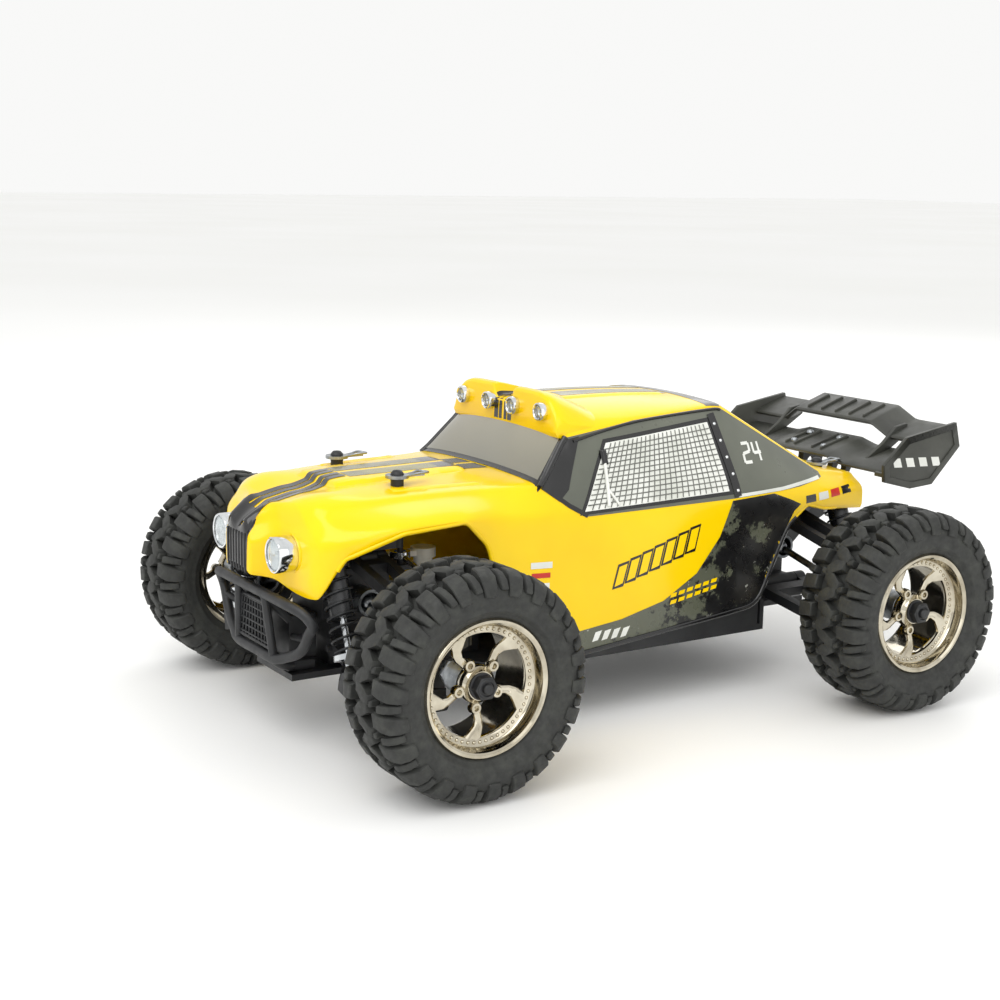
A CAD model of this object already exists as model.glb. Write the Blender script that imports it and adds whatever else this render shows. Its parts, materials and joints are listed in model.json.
import json
import math
import bmesh
import bpy
from mathutils import Matrix, Vector
from mathutils.bvhtree import BVHTree


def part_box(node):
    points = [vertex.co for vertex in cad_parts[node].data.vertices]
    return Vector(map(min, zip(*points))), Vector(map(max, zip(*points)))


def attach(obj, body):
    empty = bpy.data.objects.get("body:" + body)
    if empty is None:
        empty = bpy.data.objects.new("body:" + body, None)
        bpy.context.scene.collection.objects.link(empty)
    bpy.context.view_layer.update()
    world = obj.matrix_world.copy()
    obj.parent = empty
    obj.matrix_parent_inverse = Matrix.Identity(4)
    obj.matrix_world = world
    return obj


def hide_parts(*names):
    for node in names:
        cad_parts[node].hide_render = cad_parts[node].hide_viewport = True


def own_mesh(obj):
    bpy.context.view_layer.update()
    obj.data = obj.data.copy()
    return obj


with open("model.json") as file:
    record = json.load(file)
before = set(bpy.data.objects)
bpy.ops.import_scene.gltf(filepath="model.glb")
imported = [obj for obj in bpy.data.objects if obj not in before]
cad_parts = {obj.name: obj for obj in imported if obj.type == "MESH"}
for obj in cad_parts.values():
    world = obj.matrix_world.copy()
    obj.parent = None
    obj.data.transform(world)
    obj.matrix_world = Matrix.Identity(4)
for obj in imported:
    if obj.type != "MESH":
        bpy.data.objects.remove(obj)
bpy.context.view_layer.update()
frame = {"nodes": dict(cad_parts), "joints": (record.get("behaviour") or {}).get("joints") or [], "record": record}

for name in ("Cube", "Light", "Camera"):      # the objects of a new file
    if name in bpy.data.objects:
        bpy.data.objects.remove(bpy.data.objects[name])

# Shapes are written in millimetres from the middle of the wheelbase, X ahead, Y left, Z up from the ground.
jointAt = {j["name"]: j for j in frame["joints"]}
frontAxle = Vector(jointAt["front_left_wheel_spin"]["pos_m"])
rearAxle = Vector(jointAt["rear_left_wheel_spin"]["pos_m"])
middleX = (frontAxle.x + rearAxle.x) / 2
axleX = (frontAxle.x - rearAxle.x) / 2 * 1000      # half the wheelbase
axleZ = frontAxle.z * 1000
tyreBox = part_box("front_left_tyre")
tyreY = (tyreBox[0][1] + tyreBox[1][1]) / 2 * 1000
# Each corner with its end of the car and its side
corners = [("front_left", 1, 1), ("front_right", 1, -1), ("rear_left", -1, 1), ("rear_right", -1, -1)]


# Point of the frame, in metres, from millimetres of the car
def place(p):
    return Vector((middleX + p[0] / 1000, p[1] / 1000, p[2] / 1000))


# Linear colour from a hexadecimal screen colour
def hexColour(code):
    parts = [int(code[i:i + 2], 16) / 255 for i in (1, 3, 5)]
    return tuple(c / 12.92 if c <= 0.04045 else ((c + 0.055) / 1.055) ** 2.4 for c in parts) + (1.0,)


def addNode(tree, kind, settings=None, values=None, links=None):
    node = tree.nodes.new(kind)
    for key, value in (settings or {}).items():
        setattr(node, key, value)
    for key, value in (values or {}).items():
        node.inputs[key].default_value = value
    for key, source in (links or {}).items():
        tree.links.new(source, node.inputs[key])
    return node


def startMaterial(name, shaderValues):
    material = bpy.data.materials.new(name)
    material.use_nodes = True
    tree = material.node_tree
    shader = tree.nodes["Principled BSDF"]
    for key, value in shaderValues.items():
        shader.inputs[key].default_value = value
    where = addNode(tree, "ShaderNodeTexCoord").outputs["Object"]
    return material, tree, shader, where


# Even cloudy noise with features of a size in millimetres
def noiseOf(tree, where, sizeMm, detail=3.0, rough=0.55):
    return addNode(tree, "ShaderNodeTexNoise",
                   values={"Scale": 1000 / sizeMm, "Detail": detail, "Roughness": rough},
                   links={"Vector": where}).outputs["Fac"]


def between(tree, factor, low, high, toLow, toHigh):
    return addNode(tree, "ShaderNodeMapRange", {"clamp": True},
                   {"From Min": low, "From Max": high, "To Min": toLow, "To Max": toHigh},
                   {"Value": factor}).outputs["Result"]


def mixed(tree, factor, first, second):
    node = addNode(tree, "ShaderNodeMix", {"data_type": "RGBA"}, links={"Factor": factor})
    for socket, colour in ((node.inputs[6], first), (node.inputs[7], second)):
        if isinstance(colour, str):
            socket.default_value = hexColour(colour)
        else:
            tree.links.new(colour, socket)
    return node.outputs[2]


# Surface with slow colour drift, patches of duller or brighter finish, and a fine grain in relief.
def surfaceMaterial(name, base, second, rough, patchMm, grainMm, grainDepthMm, shaderValues=None,
                    stretch=None):
    material, tree, shader, where = startMaterial(name, shaderValues or {})
    if stretch:
        where = addNode(tree, "ShaderNodeMapping", values={"Scale": stretch},
                        links={"Vector": where}).outputs["Vector"]
    drift = noiseOf(tree, where, patchMm)
    tree.links.new(mixed(tree, between(tree, drift, 0.35, 0.68, 0, 1), base, second),
                   shader.inputs["Base Color"])
    tree.links.new(between(tree, noiseOf(tree, where, patchMm * 0.45, 4), 0.3, 0.7, rough[0], rough[1]),
                   shader.inputs["Roughness"])
    bump = addNode(tree, "ShaderNodeBump", values={"Strength": 0.6, "Distance": grainDepthMm / 1000},
                   links={"Height": noiseOf(tree, where, grainMm, 2)})
    tree.links.new(bump.outputs["Normal"], shader.inputs["Normal"])
    return material


# Polycarbonate lacquered on the inside: deep even yellow under a hard clear gloss, with a faint ripple.
paintedPolycarbonateYellow = surfaceMaterial("paintedPolycarbonateYellow", "#fbd404", "#f6c902",
                                             (0.14, 0.24), 60, 9, 0.03,
                                             {"Coat Weight": 0.12, "Coat Roughness": 0.06,
                                              "Specular IOR Level": 0.3})
# Gloss black film of stripes, window borders and pillars: deep black with a sharp sheen.
glossBlackFilm = surfaceMaterial("glossBlackFilm", "#0d0d0e", "#1a1a1b", (0.16, 0.3), 30, 7, 0.02,
                                 {"Coat Weight": 0.4, "Coat Roughness": 0.08, "IOR": 1.5})
# Smoke film of the bands on hood and roof: grey with the yellow glowing through.
smokeStripeFilm = surfaceMaterial("smokeStripeFilm", "#857f3f", "#5d5a40", (0.2, 0.34), 14, 5, 0.02,
                                  {"Coat Weight": 0.4, "Coat Roughness": 0.1, "IOR": 1.5})
# Printed vinyl of the cabin sides: soft satin grey with a slight olive cast.
slateVinyl = surfaceMaterial("slateVinyl", "#56594f", "#64675b", (0.26, 0.38), 40, 6, 0.02,
                             {"Coat Weight": 0.25, "Coat Roughness": 0.15, "IOR": 1.5})
# White vinyl behind the window net and in the marks: bright, flat and slightly warm.
whiteVinyl = surfaceMaterial("whiteVinyl", "#e9eae4", "#d5d7ce", (0.3, 0.45), 18, 4, 0.02, {"IOR": 1.5})
# Red printed vinyl, satin, for the small bars and labels.
redVinyl = surfaceMaterial("redVinyl", "#d22c1c", "#b92516", (0.3, 0.42), 10, 4, 0.02, {"IOR": 1.5})
# Glass-filled nylon as moulded: satin black with a fine spark-eroded grain.
glassFilledNylon = surfaceMaterial("glassFilledNylon", "#17181a", "#232426", (0.42, 0.6), 16, 0.9, 0.05,
                                   {"IOR": 1.53})
# Olive grey nylon of the wing, paler where handled.
oliveGreyNylon = surfaceMaterial("oliveGreyNylon", "#33342f", "#41423b", (0.4, 0.58), 22, 0.9, 0.05,
                                 {"IOR": 1.53})
# Natural nylon of the servo horn: milky white with a low sheen.
whiteNylon = surfaceMaterial("whiteNylon", "#e3e2da", "#cfcdc2", (0.38, 0.52), 9, 0.8, 0.03, {"IOR": 1.53})
# Moulded plastic of the shock bodies: near black, glossier than the nylon.
shockPlastic = surfaceMaterial("shockPlastic", "#121315", "#1d1e20", (0.22, 0.36), 8, 0.8, 0.03,
                               {"IOR": 1.5})
# Coated spring wire: black with a thin metallic glint along each turn.
coatedSpringWire = surfaceMaterial("coatedSpringWire", "#101112", "#26282a", (0.24, 0.4), 4, 0.5, 0.02,
                                   {"Metallic": 0.35})
# Vacuum plating over nylon: mirror bright with a warm champagne tint.
champagnePlating = surfaceMaterial("champagnePlating", "#cdc6b4", "#a69d8a", (0.06, 0.14), 11, 3, 0.02,
                                   {"Metallic": 1.0})
# Silver plating of the lamps: a cool mirror that throws small bright spots.
silverPlating = surfaceMaterial("silverPlating", "#e9ebec", "#cfd3d5", (0.05, 0.12), 6, 2, 0.015,
                                {"Metallic": 1.0})
# Zinc-plated steel: grey, streaked by rolling, with a broken shine.
zincPlatedSteel = surfaceMaterial("zincPlatedSteel", "#a9adb0", "#83878a", (0.24, 0.42), 5, 0.7, 0.02,
                                  {"Metallic": 1.0}, (0.25, 1, 1))
# Turned aluminium: bright, with fine lathe rings across the axis.
brightAluminium = surfaceMaterial("brightAluminium", "#d4d7d9", "#b5b9bc", (0.16, 0.3), 6, 0.7, 0.015,
                                  {"Metallic": 1.0}, (1, 0.3, 0.3))
# Drawn motor can: brushed round, warm grey.
drawnSteelCan = surfaceMaterial("drawnSteelCan", "#9c9fa3", "#7c7f83", (0.25, 0.4), 5, 0.5, 0.02,
                                {"Metallic": 1.0}, (0.2, 1, 1))
# Machined brass of the pinion: warm yellow with a soft satin cut.
cutBrass = surfaceMaterial("cutBrass", "#c6a553", "#a5863c", (0.22, 0.36), 4, 0.6, 0.02, {"Metallic": 1.0})
# Shrink wrap round the battery: blue, glossy, lightly wrinkled.
batteryWrap = surfaceMaterial("batteryWrap", "#1f4f8f", "#2a61a8", (0.25, 0.38), 14, 3, 0.06,
                              {"Coat Weight": 0.3})
# Moulded ABS of servo and receiver: near black with a soft sheen.
absCase = surfaceMaterial("absCase", "#18191b", "#242527", (0.28, 0.42), 10, 0.8, 0.03, {"IOR": 1.54})


# Soft moulded rubber, dark grey, with paler dust that gathers in blotches and a pebbled skin.
def tyreRubberMaterial():
    material, tree, shader, where = startMaterial("mouldedTyreRubber", {"IOR": 1.52})
    dust = between(tree, noiseOf(tree, where, 7, 5, 0.65), 0.45, 0.75, 0, 0.55)
    tree.links.new(mixed(tree, dust, "#262725", "#43453f"), shader.inputs["Base Color"])
    tree.links.new(between(tree, noiseOf(tree, where, 3, 4), 0.3, 0.7, 0.58, 0.82),
                   shader.inputs["Roughness"])
    pebble = addNode(tree, "ShaderNodeTexVoronoi", values={"Scale": 1000 / 0.9},
                     links={"Vector": where}).outputs["Distance"]
    bump = addNode(tree, "ShaderNodeBump", values={"Strength": 0.5, "Distance": 0.00006},
                   links={"Height": pebble})
    tree.links.new(bump.outputs["Normal"], shader.inputs["Normal"])
    return material


# Printed skirt: slate and black in torn blotches, with a few pale flecks.
def tornSkirtMaterial():
    material, tree, shader, where = startMaterial("tornSkirtPrint",
                                                  {"Coat Weight": 0.3, "Coat Roughness": 0.12})
    rise = addNode(tree, "ShaderNodeSeparateXYZ", links={"Vector": where}).outputs
    blotch = noiseOf(tree, where, 17, 8, 0.72)
    lean = between(tree, rise["X"], -0.085, 0.05, 0.12, -0.10)
    drift = addNode(tree, "ShaderNodeMath", {"operation": "ADD"}, links={0: blotch, 1: lean}).outputs[0]
    body = mixed(tree, between(tree, drift, 0.485, 0.52, 0, 1), "#555849", "#111112")
    fleck = between(tree, noiseOf(tree, where, 4.5, 6, 0.7), 0.66, 0.68, 0, 0.8)
    tree.links.new(mixed(tree, fleck, body, "#b9bab0"), shader.inputs["Base Color"])
    tree.links.new(between(tree, noiseOf(tree, where, 8), 0.3, 0.7, 0.22, 0.36), shader.inputs["Roughness"])
    bump = addNode(tree, "ShaderNodeBump", values={"Strength": 0.4, "Distance": 0.00002},
                   links={"Height": noiseOf(tree, where, 6)})
    tree.links.new(bump.outputs["Normal"], shader.inputs["Normal"])
    return material


# Windscreen: opaque grey-beige print under clear gloss, paler towards the top as sky in glass.
def windscreenMaterial():
    material, tree, shader, where = startMaterial("windscreenPrint",
                                                  {"Coat Weight": 1.0, "Coat Roughness": 0.03})
    height = addNode(tree, "ShaderNodeSeparateXYZ", links={"Vector": where}).outputs["Z"]
    sky = between(tree, height, 0.114, 0.137, 0, 1)
    cloud = noiseOf(tree, where, 45, 2)
    blend = addNode(tree, "ShaderNodeMath", {"operation": "MULTIPLY"},
                    links={0: sky, 1: between(tree, cloud, 0.3, 0.7, 0.7, 1.0)})
    tree.links.new(mixed(tree, blend.outputs[0], "#6b695c", "#918e7e"), shader.inputs["Base Color"])
    tree.links.new(between(tree, cloud, 0.3, 0.7, 0.12, 0.22), shader.inputs["Roughness"])
    bump = addNode(tree, "ShaderNodeBump", values={"Strength": 0.3, "Distance": 0.00002},
                   links={"Height": noiseOf(tree, where, 8)})
    tree.links.new(bump.outputs["Normal"], shader.inputs["Normal"])
    return material


tyreRubber = tyreRubberMaterial()
tornSkirt = tornSkirtMaterial()
windscreenPrint = windscreenMaterial()
# Clear moulded lens: almost smooth, so the facets behind it stay sharp.
clearLens = surfaceMaterial("clearLens", "#f4f7f8", "#e6ecee", (0.03, 0.08), 5, 2, 0.01,
                            {"Transmission Weight": 0.92, "IOR": 1.49})
print("materials made")


# Parts are pairs of points and faces until they become objects
def joined(*parts):
    verts, faces = [], []
    for v, f in parts:
        start = len(verts)
        verts += [tuple(p) for p in v]
        faces += [[i + start for i in face] for face in f]
    return verts, faces


def mirroredY(part):
    return [(x, -y, z) for x, y, z in part[0]], [list(reversed(f)) for f in part[1]]


# Mesh object from millimetre points, with doubles merged and faces turned outwards.
def makeObject(name, part, material, smoothAngle=35, inMetres=False, recalc=True):
    mesh = bpy.data.meshes.new(name)
    mesh.from_pydata([tuple(p) if inMetres else tuple(place(p)) for p in part[0]], [], part[1])
    shape = bmesh.new()
    shape.from_mesh(mesh)
    bmesh.ops.remove_doubles(shape, verts=shape.verts, dist=1e-6)
    bmesh.ops.dissolve_degenerate(shape, edges=shape.edges, dist=1e-7)
    if recalc:
        bmesh.ops.recalc_face_normals(shape, faces=shape.faces)
    shape.to_mesh(mesh)
    shape.free()
    for polygon in mesh.polygons:
        polygon.use_smooth = True
    mesh.set_sharp_from_angle(angle=math.radians(smoothAngle))
    mesh.materials.append(material)
    obj = bpy.data.objects.new(name, mesh)
    bpy.context.scene.collection.objects.link(obj)
    return obj


def applyModifiers(obj, smoothAngle=35):
    bpy.context.view_layer.update()
    done = bpy.data.meshes.new_from_object(obj.evaluated_get(bpy.context.evaluated_depsgraph_get()))
    obj.modifiers.clear()
    old = obj.data
    obj.data = done
    done.name = obj.name
    bpy.data.meshes.remove(old)
    for polygon in done.polygons:
        polygon.use_smooth = True
    done.set_sharp_from_angle(angle=math.radians(smoothAngle))
    return obj


def bevelled(obj, widthMm, segments=2, smoothAngle=35):
    bevel = obj.modifiers.new("softEdges", "BEVEL")
    bevel.width = widthMm / 1000
    bevel.segments = segments
    bevel.limit_method = "ANGLE"
    bevel.angle_limit = math.radians(28)
    return applyModifiers(obj, smoothAngle)


def finishPiece(obj, body, slotName, *replaced):
    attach(obj, body)
    if replaced:
        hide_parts(*replaced)
    return obj


# Object made from a part, with softened edges where asked, and set on its body
def mount(name, part, material, slotName, body="chassis", smoothAngle=35, bevelMm=0, segments=2,
          inMetres=False, replaced=None):
    obj = makeObject(name, part, material, smoothAngle, inMetres)
    if bevelMm:
        bevelled(obj, bevelMm, segments)
    return finishPiece(obj, body, slotName, *([replaced] if replaced else []))


# Faces between rings of n points each, with both ends capped
def loftFaces(rings, n):
    faces = [[i * n + k, i * n + (k + 1) % n, (i + 1) * n + (k + 1) % n, (i + 1) * n + k]
             for i in range(rings - 1) for k in range(n)]
    return faces + [list(range(n))[::-1], [(rings - 1) * n + k for k in range(n)]]


def shifted(part, at):
    return [(v[0] + at[0], v[1] + at[1], v[2] + at[2]) for v in part[0]], part[1]


# Closed loop or open line turned about X or Y; profile is (radius, distance along the axis)
def turned(profile, axis, centre, segments=64, side=1, loop=True):
    verts, faces, n = [], [], len(profile)
    for i in range(segments):
        a = 2 * math.pi * i / segments
        for r, d in profile:
            s, c = r * math.sin(a), r * math.cos(a)
            p = (side * d, c, s) if axis == "x" else (s, side * d, c)
            verts.append((centre[0] + p[0], centre[1] + p[1], centre[2] + p[2]))
    for i in range(segments):
        j = (i + 1) % segments
        for k in range(n if loop else n - 1):
            m = (k + 1) % n
            faces.append([i * n + k, i * n + m, j * n + m, j * n + k])
    return verts, faces


# Round tube along points; the section is carried along without twist
def tube(points, radius, sides=10, closed=False):
    pts = [Vector(p) for p in points]
    n = len(pts)
    tangents = []
    for i in range(n):
        a = pts[(i - 1) % n] if closed or i > 0 else pts[i]
        b = pts[(i + 1) % n] if closed or i < n - 1 else pts[i]
        tangents.append((b - a).normalized())
    normal = tangents[0].orthogonal().normalized()
    verts, faces = [], []
    for i in range(n):
        normal = (normal - tangents[i] * normal.dot(tangents[i])).normalized()
        other = tangents[i].cross(normal)
        for k in range(sides):
            a = 2 * math.pi * k / sides
            verts.append(tuple(pts[i] + (normal * math.cos(a) + other * math.sin(a)) * radius))
    for i in range(n if closed else n - 1):
        j = (i + 1) % n
        for k in range(sides):
            m = (k + 1) % sides
            faces.append([i * sides + k, i * sides + m, j * sides + m, j * sides + k])
    if not closed:
        faces.append(list(range(sides))[::-1])
        faces.append([(n - 1) * sides + k for k in range(sides)])
    return verts, faces


# Smooth path through points (Catmull-Rom)
def smoothPath(points, steps=6):
    pts = [Vector(p) for p in points]
    out = []
    for i in range(len(pts) - 1):
        a, b, c, d = pts[max(i - 1, 0)], pts[i], pts[i + 1], pts[min(i + 2, len(pts) - 1)]
        for k in range(steps):
            t = k / steps
            squared, cubed = 2 * a - 5 * b + 4 * c - d, 3 * b - a - 3 * c + d
            out.append(0.5 * (2 * b + (c - a) * t + squared * t * t + cubed * t ** 3))
    out.append(pts[-1])
    return out


# Plate from an outline, between two places along the axis that is left out
def plate(outline, axis, low, high):
    spot = {"x": lambda u, v, w: (w, u, v), "y": lambda u, v, w: (u, w, v),
            "z": lambda u, v, w: (u, v, w)}[axis]
    n = len(outline)
    verts = [spot(u, v, low) for u, v in outline] + [spot(u, v, high) for u, v in outline]
    faces = [list(range(n))[::-1], list(range(n, 2 * n))]
    faces += [[i, (i + 1) % n, n + (i + 1) % n, n + i] for i in range(n)]
    return verts, faces


def boxPart(low, high):
    (x0, y0, z0), (x1, y1, z1) = low, high
    return plate([(x0, y0), (x1, y0), (x1, y1), (x0, y1)], "z", z0, z1)


# Value of a line of (x, value) points
def lookup(table, x):
    if x <= table[0][0]:
        return table[0][1]
    for (x0, v0), (x1, v1) in zip(table, table[1:]):
        if x <= x1:
            return v0 + (v1 - v0) * (x - x0) / (x1 - x0)
    return table[-1][1]


def smoothStep(low, high, x):
    t = min(max((x - low) / (high - low), 0), 1)
    return t * t * (3 - 2 * t)


# Geometry Nodes tree that sets copies of a source object round an axis through a centre
def ringTree(name, material):
    tree = bpy.data.node_groups.new(name, "GeometryNodeTree")
    face = tree.interface
    face.new_socket("Geometry", in_out="OUTPUT", socket_type="NodeSocketGeometry")
    face.new_socket("Shape", in_out="INPUT", socket_type="NodeSocketObject")
    face.new_socket("Copies", in_out="INPUT", socket_type="NodeSocketInt")
    face.new_socket("First turn", in_out="INPUT", socket_type="NodeSocketFloat")
    face.new_socket("Axis", in_out="INPUT", socket_type="NodeSocketVector")
    face.new_socket("Centre", in_out="INPUT", socket_type="NodeSocketVector")
    given = addNode(tree, "NodeGroupInput").outputs
    shape = addNode(tree, "GeometryNodeObjectInfo", links={"Object": given["Shape"]})
    points = addNode(tree, "GeometryNodePoints", links={"Count": given["Copies"]})
    index = addNode(tree, "GeometryNodeInputIndex").outputs["Index"]
    step = addNode(tree, "ShaderNodeMath", {"operation": "DIVIDE"}, {0: 2 * math.pi},
                   {1: given["Copies"]}).outputs[0]
    turn = addNode(tree, "ShaderNodeMath", {"operation": "MULTIPLY_ADD"},
                   links={0: index, 1: step, 2: given["First turn"]}).outputs[0]
    rotation = addNode(tree, "FunctionNodeAxisAngleToRotation",
                       links={"Axis": given["Axis"], "Angle": turn}).outputs[0]
    copies = addNode(tree, "GeometryNodeInstanceOnPoints",
                     links={"Points": points.outputs[0], "Instance": shape.outputs["Geometry"],
                            "Rotation": rotation})
    moved = addNode(tree, "GeometryNodeTransform",
                    links={"Geometry": copies.outputs[0], "Translation": given["Centre"]})
    real = addNode(tree, "GeometryNodeRealizeInstances", links={"Geometry": moved.outputs[0]})
    painted = addNode(tree, "GeometryNodeSetMaterial", values={"Material": material},
                      links={"Geometry": real.outputs[0]})
    addNode(tree, "NodeGroupOutput", links={0: painted.outputs[0]})
    return tree


# Copies of a part, given round the origin in millimetres, set about an axis at a centre
def ringOf(name, part, material, tree, copies, firstTurn, centre, axis=(0, 1, 0), smoothAngle=35, bevelMm=0):
    shape = makeObject(name + "Shape", ([Vector(p) / 1000 for p in part[0]], part[1]), material,
                       smoothAngle, True)
    if bevelMm:
        bevelled(shape, bevelMm, 1)
    holder = bpy.data.objects.new(name, bpy.data.meshes.new(name))
    bpy.context.scene.collection.objects.link(holder)
    modifier = holder.modifiers.new("ring", "NODES")
    modifier.node_group = tree
    values = {"Shape": shape, "Copies": copies, "First turn": firstTurn, "Axis": axis,
              "Centre": tuple(place(centre))}
    for item in tree.interface.items_tree:
        if item.in_out == "INPUT":
            modifier[item.identifier] = values[item.name]
    applyModifiers(holder, smoothAngle)
    if not holder.data.materials:
        holder.data.materials.append(material)
    mesh = shape.data
    bpy.data.objects.remove(shape)
    bpy.data.meshes.remove(mesh)
    return holder


def mergeInto(obj, *others):
    shape = bmesh.new()
    for o in (obj,) + others:
        shape.from_mesh(o.data)
    shape.to_mesh(obj.data)
    shape.free()
    for o in others:
        mesh = o.data
        bpy.data.objects.remove(o)
        bpy.data.meshes.remove(mesh)
    return obj


# Line of the shell along X, from points measured from the rear axle and points measured from the front axle
def along(rear, front):
    return [(d - axleX, v) for d, v in rear] + [(d + axleX, v) for d, v in front]


# Body shell: wall, lower edge, sides, belt line, rail under the roof or hood, crown, and where rings are cut
shell = {
    "wall": 1.3,
    "low": along([(-37, 84.6), (-13, 87.2), (-3, 88), (10, 91.5), (25, 82), (35, 62), (43, 46), (49, 43)],
                 [(-99, 33), (-67, 36), (-59, 46), (-53, 60), (-44, 91), (-30, 104), (2, 101.8), (15, 96.3),
                  (27, 90.5), (32, 79), (34.5, 73), (38.5, 72.5), (41, 77), (53, 79)]),
    "side": along([(-37, 50), (-5, 57), (25, 60.5), (65, 62)],
                  [(-65, 61.5), (-45, 62), (-30, 66), (2, 66), (15, 62), (30, 55), (35, 50), (37.6, 44.5),
                   (39.8, 24), (44, 17.5), (53, 13)]),
    "belt": along([(-37, 95), (15, 97), (45, 101)],
                  [(-98, 99), (-65, 101), (-35, 107), (2, 106), (25, 100), (40, 95), (53, 92)]),
    "railHalf": along([(-37, 42), (-7, 47), (59, 43), (125, 48)],
                      [(-93, 47.5), (-75, 55), (-45, 50), (5, 46), (30, 42), (36, 38), (39.8, 19), (44, 14),
                       (53, 10)]),
    "rail": along([(-37, 102), (-7, 107), (59, 145), (85, 143), (125, 141)],
                  [(-94.5, 137), (-76, 115.5), (-65, 115), (-15, 114.5), (25, 112), (33, 109.5), (38, 103),
                   (39.8, 104), (53, 98)]),
    "crown": along([(-37, 103.5), (-7, 108.5), (59, 147.2), (105, 149.8)],
                   [(-96, 149.8), (-93.5, 142), (-76, 118), (-55, 118.4), (25, 117), (38, 114), (47, 108),
                    (53, 102)]),
    "stations": [d - axleX for d in (-37, -36, -31, -25, -13, -8, -3, 4, 10, 18, 25, 30, 35, 39, 43, 49, 57,
                                     59, 62, 75, 95, 115)]
    + [d + axleX for d in (-115, -103, -98.5, -96, -93.5, -89, -82, -76, -73, -67, -63, -59, -56, -53, -49,
                           -44, -37, -30, -21, -10, 2, 9, 15, 20, 25, 29, 32, 35, 36, 37, 37.8, 38.8,
                           39.8, 42, 45, 48, 50, 51.2)],
}


# Half of the cross-section at x, from the lower edge up to the middle
def halfSection(x):
    low, side, belt = (lookup(shell[key], x) for key in ("low", "side", "belt"))
    rail, railZ, top = (lookup(shell[key], x) for key in ("railHalf", "rail", "crown"))
    belt = max(belt, low + 1.2)
    railZ = max(railZ, belt + 1.2)
    nose = smoothStep(axleX + 6, axleX + 22, x)     # the middle of the nose lies lower than the lamp lobes
    dip = 4.5 * nose
    return [(side - 1.2, low), (side, low + 1.6), (side, (low + belt) / 2), (side, belt - 1.2),
            (side * 0.8 + rail * 0.2 + 0.8, belt * 0.8 + railZ * 0.2 + 0.2),
            (side * 0.4 + rail * 0.6, belt * 0.4 + railZ * 0.6), (rail + 0.3, railZ - 1.6),
            (rail - 1.5, railZ + 0.6), (rail * 0.86, railZ * 0.6 + top * 0.4 + nose),
            (rail * 0.66, railZ * 0.3 + top * 0.7 + nose * 1.2),
            (rail * 0.4, railZ * 0.1 + top * 0.9 - dip * 0.55),
            (rail * 0.16, top - dip), (0, top - dip)]


def shellRing(x, squeeze=1.0):
    half = halfSection(x)
    mid = (half[0][1] + half[-1][1]) / 2
    half = [(y * squeeze, mid + (z - mid) * squeeze) for y, z in half]
    if squeeze < 0.8:       # the last ring has no dip, so the strips that close it never cross
        crest = half[-1][1]
        half = [(y, min(z, crest - 0.1 * (len(half) - 1 - i))) for i, (y, z) in enumerate(half)]
    return [(x, y, z) for y, z in half] + [(x, -y, z) for y, z in reversed(half[:-1])]


# Outer skin of the shell, before it gets its wall
def makeShellSkin():
    rings = [shellRing(x) for x in shell["stations"]]
    rings = [shellRing(shell["stations"][0], 0.9)] + rings
    rings += [shellRing(axleX + 51.8, 0.93), shellRing(axleX + 52.2, 0.7)]
    width = len(rings[0])
    verts = [p for ring in rings for p in ring]
    faces = [[i * width + j, i * width + j + 1, (i + 1) * width + j + 1, (i + 1) * width + j]
             for i in range(len(rings) - 1) for j in range(width - 1)]
    for ring, flip in ((0, False), (len(rings) - 1, True)):   # close the tail and the nose strip by strip
        for j in range(width // 2):
            quad = [ring * width + j, ring * width + j + 1, ring * width + width - 2 - j,
                    ring * width + width - 1 - j]
            quad = list(dict.fromkeys(quad))
            if len(quad) > 2:
                faces.append(quad if flip else quad[::-1])
    skin = makeObject("shellSkin", (verts, faces), paintedPolycarbonateYellow)
    smooth = skin.modifiers.new("smooth", "SUBSURF")
    smooth.levels = smooth.render_levels = 2
    return applyModifiers(skin, 40)


# Tree of the surface that films are laid on, for rays from outside
def surfaceTree(*objs):
    verts, faces = [], []
    for o in objs:
        start = len(verts)
        verts += [v.co.copy() for v in o.data.vertices]
        faces += [[i + start for i in p.vertices] for p in o.data.polygons]
    return BVHTree.FromPolygons(verts, faces)


# Point of the surface seen along an axis, in metres: left and right read (x, z), top (x, y), front (y, z)
def onSurface(tree, view, u, v, lift):
    start, way = {"left": ((u, 200, v), (0, -1, 0)), "right": ((u, -200, v), (0, 1, 0)),
                  "top": ((u, v, 300), (0, 0, -1)), "front": ((300, u, v), (-1, 0, 0))}[view]
    way = Vector(way)
    hit, normal, _, _ = tree.ray_cast(place(start), way)
    if hit is None or normal is None:
        near = {"left": (u, 60, v), "right": (u, -60, v), "top": (u, v, 115), "front": (175, u, v)}[view]
        hit, normal, _, _ = tree.find_nearest(place(near))
    if normal.dot(way) > 0:
        normal = -normal
    return hit + normal * (lift / 1000)


# Distance from a point to the nearest edge of an outline
def edgeDistance(outline, u, v):
    best = 1e9
    for (a, b), (c, d) in zip(outline, outline[1:] + outline[:1]):
        length = (c - a) ** 2 + (d - b) ** 2
        t = min(max(((u - a) * (c - a) + (v - b) * (d - b)) / length, 0), 1) if length else 0
        best = min(best, math.hypot(u - a - t * (c - a), v - b - t * (d - b)))
    return best


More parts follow.
